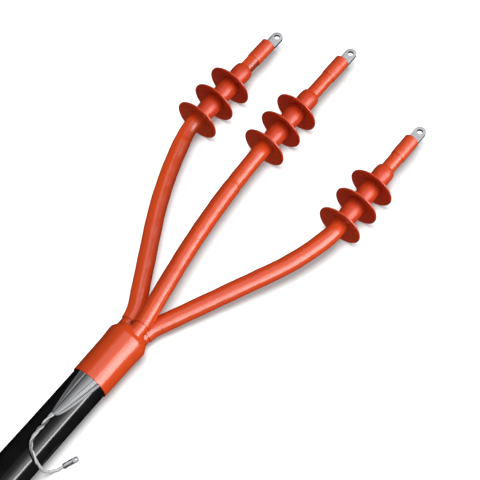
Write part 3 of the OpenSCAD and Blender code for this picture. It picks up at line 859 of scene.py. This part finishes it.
def makeBoot(settings):
    own = SimpleNamespace(**settings)
    parts = [skinData(axisPath(), bootOutline(settings), own.bodySides)]
    for route in routes.values():
        first = route.shoulder - own.fingerRoot
        last = route.shoulder + core.fingerLen
        parts.append(skinData(route.at, barOutline(first, last, core.fingerR, own.fingerSteps)))
    draft = makePiece("bootDraft", *joined(parts))
    melt = draft.modifiers.new("melt", "REMESH")
    melt.mode = "VOXEL"
    melt.voxel_size = own.voxel
    mesh = bpy.data.meshes.new_from_object(draft.evaluated_get(bpy.context.evaluated_depsgraph_get()))
    bpy.data.objects.remove(draft)
    points = np.empty(len(mesh.vertices) * 3)
    mesh.vertices.foreach_get("co", points)
    points = points.reshape(-1, 3)
    edges = np.empty(len(mesh.edges) * 2, dtype=np.int64)
    mesh.edges.foreach_get("vertices", edges)
    edges = edges.reshape(-1, 2)
    weights = np.full(len(points), own.smoothShare)
    points = relaxed(points, edges, weights, own.smoothTurns)
    crotch = np.clip(1 - np.abs(points[:, 0] - core.shoulderX) / own.crotchReach, 0, 1)
    points = relaxed(points, edges, own.crotchShare * crotch, own.crotchTurns)
    # The turned body keeps its exact outline
    line = bootOutline(settings)[3:-2]
    radius = np.hypot(points[:, 1], points[:, 2])
    wanted = np.interp(points[:, 0], [p[0] for p in line], [p[1] for p in line])
    keepTo = mouthX + own.bulgeAt + own.keepPast
    keep = np.clip((keepTo - points[:, 0]) / own.keepFade, 0, 1)
    keep = keep * keep * (3 - 2 * keep)
    outside = (radius > wanted - own.keepDepth) & (points[:, 0] > mouthX + own.mouthSkip)
    scale = np.where(outside, 1 + keep * (wanted / np.maximum(radius, 1e-6) - 1), 1)
    points[:, 1] *= scale
    points[:, 2] *= scale
    mesh.vertices.foreach_set("co", points.ravel())
    mesh.polygons.foreach_set("use_smooth", [True] * len(mesh.polygons))
    wraps = mesh.uv_layers.new(name="wrap")
    corners = np.empty(len(mesh.loops), dtype=np.int64)
    mesh.loops.foreach_get("vertex_index", corners)
    turn = np.arctan2(points[:, 2], points[:, 1]) / tau
    wraps.data.foreach_set("uv", np.stack([turn[corners], points[corners, 0]], 1).ravel())
    mesh.update()
    piece = bpy.data.objects.new("breakoutBoot", mesh)
    scene.collection.objects.link(piece)
    return piece


boot = dress(makeBoot(bootSettings), shrinkRed, "shrink", "breakout_boot")
print("boot made", len(boot.data.polygons), "faces")


# Outer tubes: one skin from the boot's finger to the lug
tubeSettings = {
    "lipRound": 0.0009, "stepLead": 0.002, "stepLen": 0.007, "waistBack": 0.001,
    "stepPast": {"left": 0.100, "middle": 0.045, "right": 0.112},
    "fingerDip": 0.00035, "dipPast": 0.002, "dipWidth": 0.003, "waveDrop": 0.0001, "waveFade": 0.02,
    "wave": 0.00018, "slowRate": 92, "fastRate": 171, "fastShare": 0.6, "oval": 0.00022, "ovalRate": 7,
    "spacing": 0.004, "boreSteps": 60, "sides": 72, "seeds": {"left": 3, "middle": 5, "right": 9},
}


def makeTube(name, settings):
    own = SimpleNamespace(**settings)
    route = routes[name]
    shedLow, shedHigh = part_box(name + "_shed_3")
    lip = route.shoulder + core.fingerBare
    fingerEnd = route.shoulder + core.fingerLen
    stepAt = fingerEnd + core.stressLen + own.stepPast[name]
    neck = route.station(shedLow.x + core.insulationPast)
    waist = route.station(shedHigh.x - own.waistBack)
    last = route.station(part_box(name + "_outer_tube")[1].x)
    lipRound = own.lipRound
    draw = random.Random(own.seeds[name])
    phase = [draw.uniform(0, anyTurn) for _ in range(6)]

    def outerR(s):
        step = softStep(stepAt - own.stepLead, stepAt + own.stepLen, s)
        r = core.tubeR + (core.tubeHighR - core.tubeR) * step
        r += (core.tubeEndR - core.tubeHighR) * softStep(neck, waist, s)
        r -= own.fingerDip * bump(fingerEnd + own.dipPast, own.dipWidth, s)
        short = 1 - min((s - lip) / lipRound, 1)
        return r - lipRound * (1 - sqrt(max(1 - short ** 2, 0)))

    def ripple(s, angle):
        if s > neck:
            return 0
        wave = sin(s * own.slowRate + phase[0])
        wave += own.fastShare * sin(s * own.fastRate + phase[1] + sin(angle))
        oval = cos(2 * angle + phase[2] + s * own.ovalRate)
        fade = softStep(lip, lip + own.waveFade, s)
        return fade * (own.wave * wave + own.oval * oval) - own.waveDrop

    stations = [lip + lipRound * t for t in (0, 0.1, 0.3, 0.6, 1)]
    count = int((last - lip) / own.spacing)
    stations += evenly(lip + lipRound, last, count)
    outline = [(s, outerR(s)) for s in stations]
    bore = core.barrelR + seamClearance
    wide = core.fingerR + seamClearance
    narrow = core.insulationR + seamClearance
    outline += [(last, bore), (neck, bore)]
    outline += [(s, narrow if s > stepAt else wide) for s in evenly(neck, lip, own.boreSteps)]
    skin = skinData(route.at, outline, own.sides, ripple, range(len(stations)))
    return makePiece(name + "OuterTube", *skin, sharpAngle=50)


tubes = {}
for name in phases:
    tubes[name] = dress(makeTube(name, tubeSettings), shrinkRed, "shrink", name + "_outer_tube")
print("outer tubes made")


# Rain sheds: a thin dished cone with a bulged collar that closes like a dome
shedSettings = {
    "rimWall": 0.0034, "rimRound": 0.0008, "drop": 0.009, "dish": 0.0012, "neckWall": 0.0012,
    "fillet": 0.003, "filletFrom": 0.7, "filletSpan": 0.3, "bellyAt": 0.024, "bulge": 0.0034, "crown": 0.75,
    "lip": 0.001, "lipBack": 0.0008, "nestGap": 0.0015, "rimWave": 0.0003, "waveFrom": 0.01,
    "sides": 128, "seed": 40,
}


def makeShed(name, index, settings):
    own = SimpleNamespace(**settings)
    node = "%s_shed_%d" % (name, index + 1)
    low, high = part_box(node)
    route = routes[name]
    rimX, lipX = low.x, high.x
    rimR = (high.z - low.z) / 2
    drop, dish = own.drop, own.dish
    wall, edge = own.rimWall, own.rimRound
    seat = core.tubeHighR + seamClearance
    topShed = index == 2
    if not topShed:
        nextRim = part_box("%s_shed_%d" % (name, index + 2))[0].x
        lipX = nextRim + drop - own.nestGap
    end = core.tubeEndR + seamClearance if topShed else seat
    neckR = seat + own.neckWall
    bellyX = rimX + drop + wall + own.bellyAt
    bellyR = seat + own.bulge
    lipR = end + own.lip
    outline = []
    for t in (0, *evenly(0, 1, 12)):
        x = rimX + drop * (1 - t) + dish * sin(pi * t)
        outline.append((x, seat + (rimR - edge - seat) * t))
    for degrees in (30, 60, 90, 120, 150, 180):
        a = radians(degrees)
        middle = edge if degrees <= 90 else wall - edge
        outline.append((rimX + middle - edge * cos(a), rimR - edge + edge * sin(a)))
        if degrees == 90:
            outline.append((rimX + wall - edge, rimR))
    for t in evenly(0, 1, 10):
        fillet = own.fillet * max(0, (t - own.filletFrom) / own.filletSpan) ** 2
        x = rimX + wall + drop * t + dish * sin(pi * t) + fillet
        outline.append((x, rimR - edge + (neckR - rimR + edge) * t))
    first = outline[-1][0]
    for t in evenly(0, 1, 12):
        outline.append((first + (bellyX - first) * t, neckR + (bellyR - neckR) * softStep(0, 1, t)))
    for a in evenly(0, pi / 2, 16):
        x = bellyX + (lipX - bellyX) * sin(a) ** own.crown
        outline.append((x, lipR + (bellyR - lipR) * cos(a) ** own.crown))
    outline.append((lipX, end))
    if topShed:
        outline += [(lipX - own.lipBack, end), (rimX + core.insulationPast, seat)]
    phase = random.Random(own.seed + index + 10 * len(name)).uniform(0, anyTurn)
    points, faces, wraps = skinData(axisPath(route.side, route.height), outline, own.sides)
    for point in points:
        y, z = point.y - route.side, point.z - route.height
        share = softStep(seat + own.waveFrom, rimR, hypot(y, z))
        point.x += own.rimWave * share * (sin(3 * atan2(z, y) + phase) - 1)
    return makePiece(node.replace("_", ""), points, faces, wraps, sharpAngle=50)


sheds = []
for name in phases:
    for index in range(3):
        shed = makeShed(name, index, shedSettings)
        sheds.append(dress(shed, shedRed, "shrink", "%s_shed_%d" % (name, index + 1)))
print("rain sheds made")


# Lug seals: sleeves shrunk over the tube's end and the lug's barrel
sealSettings = {
    "lipWall": 0.0008, "lipLen": 0.005, "endRound": 0.0009, "wave": 0.00005, "waveRate": 260,
    "waveFrom": 0.004, "waveBack": 0.002, "steps": 30, "sides": 72,
}


def makeSeal(name, settings):
    own = SimpleNamespace(**settings)
    low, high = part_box(name + "_lug_seal")
    route = routes[name]
    bore = core.barrelR + seamClearance
    over = core.tubeEndR + seamClearance
    outer = core.sealR
    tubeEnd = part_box(name + "_outer_tube")[1].x + seamClearance
    wall, edge, steps = own.lipWall, own.endRound, own.steps
    outline = [(low.x, over), (low.x, over + wall)]
    for x in evenly(low.x, high.x - edge, steps):
        rise = softStep(low.x, low.x + own.lipLen, x)
        outline.append((x, over + wall + (outer - over - wall) * rise))
    for degrees in (30, 60, 90):
        a = radians(degrees)
        outline.append((high.x - edge + edge * sin(a), outer - edge * (1 - cos(a))))
    outline += [(high.x, bore), (tubeEnd, bore), (tubeEnd, over)]

    def ripple(x, angle):
        if x <= low.x + own.waveFrom or x > high.x - own.waveBack:
            return 0
        return -own.wave * (1 + sin(x * own.waveRate + 2 * angle))

    axis = axisPath(route.side, route.height)
    skin = skinData(axis, outline, own.sides, ripple, range(2, steps + 1))
    return makePiece(name + "LugSeal", *skin, sharpAngle=50)


for name in phases:
    dress(makeSeal(name, sealSettings), sealRed, "shrink", name + "_lug_seal")
print("lug seals made")


# Lugs: a barrel pressed flat into a palm with one bolt hole
lugSettings = {
    "palmW": 0.025, "palmT": 0.007, "holeR": 0.006, "holeAt": 0.0315, "slope": 0.007, "slopeSteps": 12,
    "squareness": 4, "palmFrom": 0.8, "bevel": 0.0007, "sides": 64, "palmSides": 96,
}


def makeLug(name, settings):
    own = SimpleNamespace(**settings)
    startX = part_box(name + "_lug")[0].x
    route = routes[name]
    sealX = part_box(name + "_lug_seal")[1].x
    sealEnd = sealX + seamClearance
    holeX = sealX + own.holeAt
    r = core.barrelR
    palmZ = -r + own.palmT / 2
    sides = own.sides
    axis = Matrix.Translation((0, route.side, route.height))
    stations = [(startX, 0), (sealEnd, 0)]
    stations += [(sealEnd + own.slope * t, t) for t in evenly(0, 1, own.slopeSteps)]
    points = [axis @ Vector((startX, 0, 0))]
    starts = [(0, False)]
    for x, t in stations:
        starts.append((len(points), True))
        flat = softStep(0, 1, t)
        power = 2 / (2 + own.squareness * flat)
        halfY = r + (own.palmW / 2 - r) * flat
        halfZ = r + (own.palmT / 2 - r) * flat
        for j in range(sides):
            a = tau * j / sides
            cy, cz = cos(a), sin(a)
            y = halfY * copysign(abs(cy) ** power, cy)
            z = palmZ * flat + halfZ * copysign(abs(cz) ** power, cz)
            points.append(axis @ Vector((x, y, z)))
    starts.append((len(points), False))
    points.append(axis @ Vector((stations[-1][0], 0, palmZ)))
    barrel = points, *bandData(starts, range(len(starts)), sides)
    hole = axis @ Matrix.Translation((holeX, 0, palmZ))
    palm = palmData(hole, own.palmW, holeX - sealEnd - own.slope * own.palmFrom,
                    own.palmT, own.holeR, own.bevel, own.palmSides)
    return makePiece(name + "Lug", *joined([barrel, palm]), sharpAngle=35)


for name in phases:
    dress(makeLug(name, lugSettings), brightTin, "tinned", name + "_lug")
print("lugs made")


# Conductors: stranded wires where the cut end shows, a plain bar from there to the lug
conductorSettings = {
    "wireLen": 0.030, "layers": (1, 6, 12, 18), "layerTurn": 0.3, "endShare": 0.82, "endRound": 0.0002,
    "lap": 0.001, "sides": 12, "barSteps": 90, "barSides": 32,
}


def makeConductor(name, settings):
    own = SimpleNamespace(**settings)
    route = routes[name]
    end = route.station(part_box(name + "_conductor")[1].x)
    barR, length = core.conductorR, own.wireLen
    wireR = barR / (2 * len(own.layers) - 1)
    wire = [(0, 0), (0, wireR * own.endShare), (own.endRound, wireR), (length, wireR), (length, 0)]
    parts = []
    for layer, count in enumerate(own.layers):
        for k in range(count):
            a = tau * k / count + own.layerTurn * layer
            y, z = 2 * wireR * layer * cos(a), 2 * wireR * layer * sin(a)
            spot = Matrix.Translation((0, y, z))
            parts.append(skinData(lambda s, spot=spot: route.at(s) @ spot, wire, own.sides))
    bar = barOutline(length - own.lap, end, barR, own.barSteps)
    parts.append(skinData(route.at, bar, own.barSides))
    return makePiece(name + "Conductor", *joined(parts))


for name in phases:
    dress(makeConductor(name, conductorSettings), bareCopper, "copper", name + "_conductor")
print("conductors made")


# Layers that stay as solids get their finish
solidFinishes = {
    "armour": steelTape, "inner_sheath": mattBlack, "filler": fibreFiller, "roll_spring": steelTape,
}
for name in phases:
    solidFinishes[name + "_insulation"] = paleInsulation
    solidFinishes[name + "_core_screen"] = bareCopper
    solidFinishes[name + "_stress_tube"] = mattBlack
for node, material in solidFinishes.items():
    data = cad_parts[node].data
    data.materials.clear()
    data.materials.append(material)
print("solids dressed")


# Floor and light: soft boxes stand on a ball around the middle of the object
def softBox(turn, rise, size, power, onto, far=3.0, gloss=True, diffuse=False):
    return {"turn": turn, "rise": rise, "size": size, "power": power, "onto": onto, "far": far,
            "gloss": gloss, "diffuse": diffuse}


# Rise, height and power of each box that the cable mirrors
cableStripes = ((24, 0.42, 92), (37, 0.95, 44), (50, 0.42, 8.4), (59.5, 0.58, 5.6), (75, 1.06, 4.2))
lightSettings = {
    "middle": (0.55, 0.0, 0.0), "world": 0.42, "backdrop": 1.0, "floorSize": 5.0,
    "floor": {
        "Color": (0.50, 0.50, 0.50), "Patch Color": (0.49, 0.49, 0.49), "Scale": 3.0, "Amount": 0.3,
        "Roughness": 0.8, "Gloss Drift": 0.05,
        "shader": {"Specular IOR Level": 0.0, "Emission Color": (1, 1, 1, 1), "Emission Strength": 0.22},
    },
    "boxes": {
        "floorBox": softBox(0, 90, (3.1, 3.1), 760, "floorOnly", 6.0, diffuse=True),
        "keyBox": softBox(16, 47, (1.2, 1.2), 66, "smooth", gloss=False, diffuse=True),
        "leftKey": softBox(118, 70, (1.2, 1.2), 43, "left", gloss=False, diffuse=True),
        "shedKey": softBox(26, 46, (1.2, 1.2), 66, "sheds", gloss=False, diffuse=True),
        "lowBox": softBox(8, 26, (4.0, 1.72), 216, "plain"),
        "midBox": softBox(8, 52, (4.0, 1.06), 80, "plain"),
        "highBox": softBox(8, 87, (4.0, 2.8), 56, "plain"),
        **{"cableBox%d" % rise: softBox(11, rise, (4.0, height), power, "cableOnly")
           for rise, height, power in cableStripes},
        "metalBox": softBox(0, 90, (7.0, 4.0), 72, "metal", 2.5),
        **{"metalSide%d" % turn: softBox(turn, 24, (6.0, 2.5), 10, "metal") for turn in (0, 90, 180, 270)},
    },
}


def makeFloor(settings):
    half = settings["floorSize"] / 2
    middle = settings["middle"]
    corners = [(middle[0] + x * half, middle[1] + y * half, floorZ)
               for x, y in ((-1, -1), (1, -1), (1, 1), (-1, 1))]
    floor = makePiece("floor", corners, [(0, 1, 2, 3)])
    floor.data.materials.append(startMaterial("paleFloor", settings["floor"])[0])
    floor.visible_glossy = False
    floor.visible_diffuse = False
    return floor


def makeReach(name, members, leaveOut=False):
    reach = bpy.data.collections.new(name)
    for member in members:
        reach.objects.link(member)
    if leaveOut:
        for entry in reach.collection_objects:
            entry.light_linking.link_state = "EXCLUDE"
    return reach


def makeLight(name, settings, middle, reach):
    data = bpy.data.lights.new(name, "AREA")
    data.shape = "RECTANGLE"
    data.size, data.size_y = settings["size"]
    data.energy = settings["power"]
    light = bpy.data.objects.new(name, data)
    turn, rise = radians(settings["turn"]), radians(settings["rise"])
    away = Vector((sin(turn) * cos(rise), -cos(turn) * cos(rise), sin(rise)))
    across = Vector((cos(turn), sin(turn), 0))
    spin = Matrix((across, away.cross(across), away)).transposed()
    light.matrix_world = Matrix.Translation(middle + away * settings["far"]) @ spin.to_4x4()
    light.visible_camera = False
    light.visible_glossy = settings["gloss"]
    light.visible_diffuse = settings["diffuse"]
    light.light_linking.receiver_collection = reach
    scene.collection.objects.link(light)


# The world lights with its strength, and the camera sees the backdrop's
def makeWorld(strength, backdrop):
    world = bpy.data.worlds.new("studio")
    world.use_nodes = True
    tree = world.node_tree
    background = tree.nodes["Background"]
    background.inputs["Color"].default_value = (1, 1, 1, 1)
    seen = tree.nodes.new("ShaderNodeLightPath").outputs["Is Camera Ray"]
    paler = mathNode(tree, "MULTIPLY_ADD", seen, backdrop - strength, strength)
    tree.links.new(paler, background.inputs["Strength"])
    world.cycles_visibility.glossy = False
    scene.world = world


floor = makeFloor(lightSettings)
bare = [piece for piece in scene.objects if piece.type == "MESH" and piece.data.materials
        and piece.data.materials[0] in (brightTin, strapBraid, leadBraid, bareCopper, steelTape)]
reaches = {
    "floorOnly": makeReach("floorOnly", [floor]),
    "smooth": makeReach("smooth", sheds + [floor, tubes["left"]], True),
    "left": makeReach("left", [tubes["left"]]),
    "sheds": makeReach("sheds", sheds),
    "cableOnly": makeReach("cableOnly", [cable]),
    "metal": makeReach("metal", bare),
    "plain": makeReach("plain", bare + [floor, cable], True),
}
for name, settings in lightSettings["boxes"].items():
    makeLight(name, settings, Vector(lightSettings["middle"]), reaches[settings["onto"]])
makeWorld(lightSettings["world"], lightSettings["backdrop"])
print("floor and light set")
